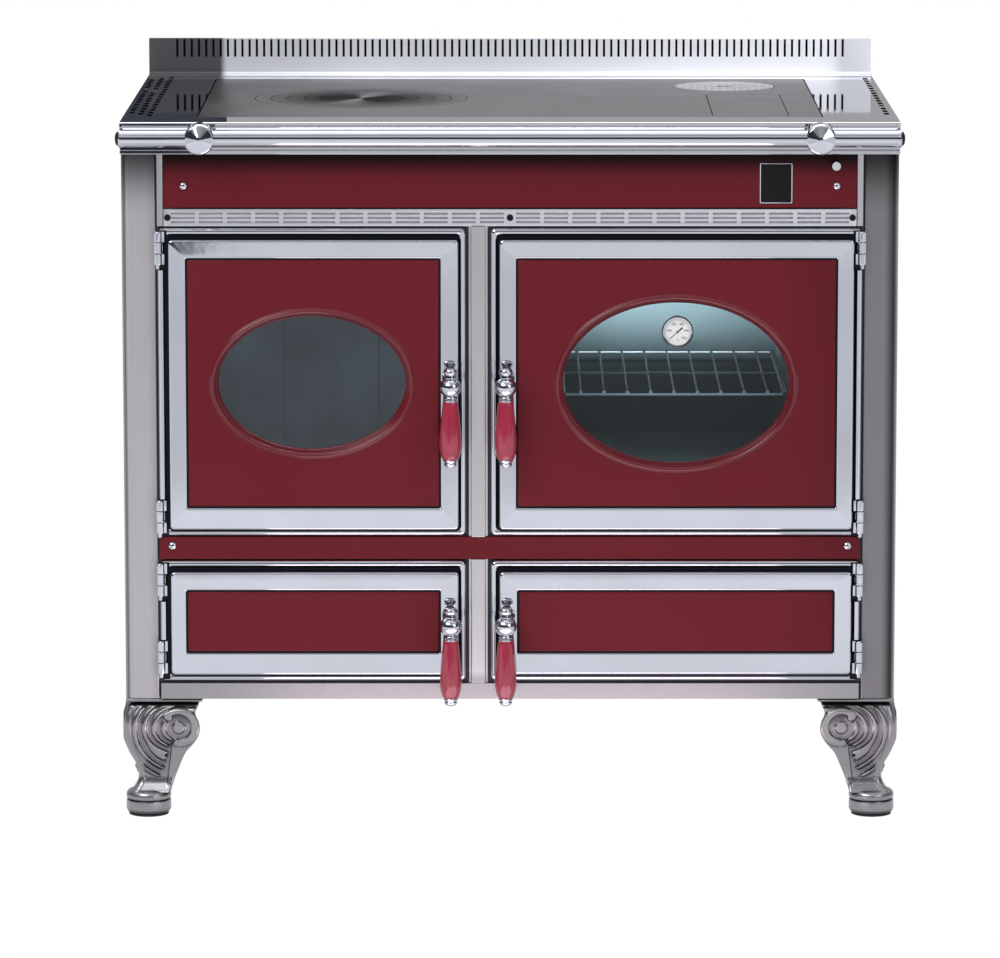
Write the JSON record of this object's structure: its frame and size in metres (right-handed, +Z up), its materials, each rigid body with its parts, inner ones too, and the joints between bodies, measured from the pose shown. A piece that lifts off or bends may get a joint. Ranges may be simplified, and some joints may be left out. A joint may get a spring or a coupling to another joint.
{
  "type": "wood cookstove",
  "caption": "Free-standing wood cookstove with firebox, glazed oven, two lower doors, ringed hob, hand rail, slotted upstand and scroll legs.",
  "frame": {"origin": "on the floor, centred in width, halfway between the foremost point of the rail brackets and the end of the flue spigot", "axes": "+X to the viewer's right along the front, +Y from the doors to the flue, +Z up"},
  "size_m": [1.008, 0.7384, 0.962],
  "materials": {
    "steel": "brushed stainless sheet",
    "silver": "silver enamel on sheet steel",
    "burgundy": "glossy burgundy enamel",
    "chrome": "polished chrome plate",
    "iron": "ground cast iron",
    "leg_iron": "silver-coated cast iron",
    "dark_steel": "heat-resistant black",
    "oven_enamel": "dark enamel",
    "brick": "fireclay, rough",
    "glass": "clear heat-resistant glass",
    "grip": "turned, burgundy lacquer",
    "dial": "bright bezel",
    "rubber": "dark pads"
  },
  "bodies": {
    "root": {"worktop": "steel", "splashback": "steel", "side_panel_left": "silver", "side_panel_right": "silver", "back_panel": "silver", "base_frame": "silver", "fascia_panel": "burgundy", "middle_rail": "burgundy", "vent_grille": "dark_steel", "front_frame": "dark_steel", "front_trims": "chrome", "hand_rail": "chrome", "rail_fittings": "chrome", "door_hinges": "chrome", "flue_spigot": "dark_steel", "hob_plate": "iron", "fire_grate": "iron", "firebox_shell": "dark_steel", "ash_box": "dark_steel", "store_box": "dark_steel", "flue_duct": "dark_steel", "oven_shell": "oven_enamel", "firebricks_left": "brick", "firebricks_right": "brick", "firebricks_back": "brick", "legs": "leg_iron", "foot_pads": "rubber"},
    "fire_door": {"fire_door_frame": "chrome", "fire_door_panel": "burgundy", "fire_door_glass": "glass", "fire_door_retainer": "dark_steel"},
    "oven_door": {"oven_door_frame": "chrome", "oven_door_panel": "burgundy", "oven_door_glass": "glass", "oven_door_retainer": "dark_steel", "oven_thermometer": "dial"},
    "ash_door": {"ash_door_frame": "chrome", "ash_door_panel": "burgundy"},
    "store_door": {"store_door_frame": "chrome", "store_door_panel": "burgundy"},
    "fire_door_handle": {"fire_handle": "chrome", "fire_grip": "grip"},
    "oven_door_handle": {"oven_handle": "chrome", "oven_grip": "grip"},
    "ash_door_handle": {"ash_handle": "chrome", "ash_grip": "grip"},
    "store_door_handle": {"store_handle": "chrome", "store_grip": "grip"},
    "hob_ring_1_body": {"hob_ring_1": "iron"},
    "hob_ring_2_body": {"hob_ring_2": "iron"},
    "hob_ring_3_body": {"hob_ring_3": "iron"},
    "hob_ring_4_body": {"hob_ring_4": "iron"},
    "hob_centre_body": {"hob_centre": "iron"},
    "flue_cap_body": {"flue_cap": "iron"},
    "soot_cover_body": {"soot_cover": "iron"},
    "ash_pan_body": {"ash_pan": "dark_steel"},
    "oven_rack_body": {"oven_rack": "chrome"},
    "damper_rod_body": {"damper_rod": "chrome"},
    "damper_flap_body": {"damper_flap": "dark_steel"}
  },
  "joints": [
    {"name": "fire_door_hinge", "type": "hinge", "parent": "root", "child": "fire_door", "pos_m": [-0.4525, -0.31275, 0.5736], "axis": [0, 0, -1], "range_deg": [0, 110]},
    {"name": "fire_handle_turn", "type": "hinge", "parent": "fire_door", "child": "fire_door_handle", "pos_m": [-0.0765, -0.35375, 0.5736], "axis": [0, 1, 0], "range_deg": [0, 90]},
    {"name": "oven_door_hinge", "type": "hinge", "parent": "root", "child": "oven_door", "pos_m": [0.4525, -0.31275, 0.5736], "axis": [0, 0, 1], "range_deg": [0, 110]},
    {"name": "oven_handle_turn", "type": "hinge", "parent": "oven_door", "child": "oven_door_handle", "pos_m": [-0.0055, -0.35375, 0.5736], "axis": [0, -1, 0], "range_deg": [0, 90]},
    {"name": "ash_door_hinge", "type": "hinge", "parent": "root", "child": "ash_door", "pos_m": [-0.4525, -0.31275, 0.262], "axis": [0, 0, -1], "range_deg": [0, 110]},
    {"name": "ash_handle_turn", "type": "hinge", "parent": "ash_door", "child": "ash_door_handle", "pos_m": [-0.0765, -0.35375, 0.262], "axis": [0, 1, 0], "range_deg": [0, 90]},
    {"name": "store_door_hinge", "type": "hinge", "parent": "root", "child": "store_door", "pos_m": [0.4525, -0.31275, 0.262], "axis": [0, 0, 1], "range_deg": [0, 110]},
    {"name": "store_handle_turn", "type": "hinge", "parent": "store_door", "child": "store_door_handle", "pos_m": [-0.0055, -0.35375, 0.262], "axis": [0, -1, 0], "range_deg": [0, 90]},
    {"name": "hob_ring_1_lift", "type": "slide", "parent": "root", "child": "hob_ring_1_body", "axis": [0, 0, 1], "range_m": [0, 0.04]},
    {"name": "hob_ring_2_lift", "type": "slide", "parent": "hob_ring_1_body", "child": "hob_ring_2_body", "axis": [0, 0, 1], "range_m": [0, 0.04]},
    {"name": "hob_ring_3_lift", "type": "slide", "parent": "hob_ring_2_body", "child": "hob_ring_3_body", "axis": [0, 0, 1], "range_m": [0, 0.04]},
    {"name": "hob_ring_4_lift", "type": "slide", "parent": "hob_ring_3_body", "child": "hob_ring_4_body", "axis": [0, 0, 1], "range_m": [0, 0.04]},
    {"name": "hob_centre_lift", "type": "slide", "parent": "hob_ring_4_body", "child": "hob_centre_body", "axis": [0, 0, 1], "range_m": [0, 0.04]},
    {"name": "flue_cap_lift", "type": "slide", "parent": "root", "child": "flue_cap_body", "axis": [0, 0, 1], "range_m": [0, 0.04]},
    {"name": "soot_cover_lift", "type": "slide", "parent": "root", "child": "soot_cover_body", "axis": [0, 0, 1], "range_m": [0, 0.04]},
    {"name": "ash_pan_slide", "type": "slide", "parent": "root", "child": "ash_pan_body", "axis": [0, -1, 0], "range_m": [0, 0.02]},
    {"name": "oven_rack_slide", "type": "slide", "parent": "root", "child": "oven_rack_body", "axis": [0, -1, 0], "range_m": [0, 0.07]},
    {"name": "damper_turn", "type": "hinge", "parent": "root", "child": "damper_flap_body", "pos_m": [0.291, 0.28125, 0.803], "axis": [1, 0, 0], "range_deg": [0, 70]},
    {"name": "damper_pull", "type": "slide", "parent": "root", "child": "damper_rod_body", "axis": [0, -1, 0], "range_m": [0, 0.05965]}
  ],
  "couplings": [
    {"joint": "damper_pull", "follows": "damper_turn", "m_per_rad": 0.04882}
  ]
}
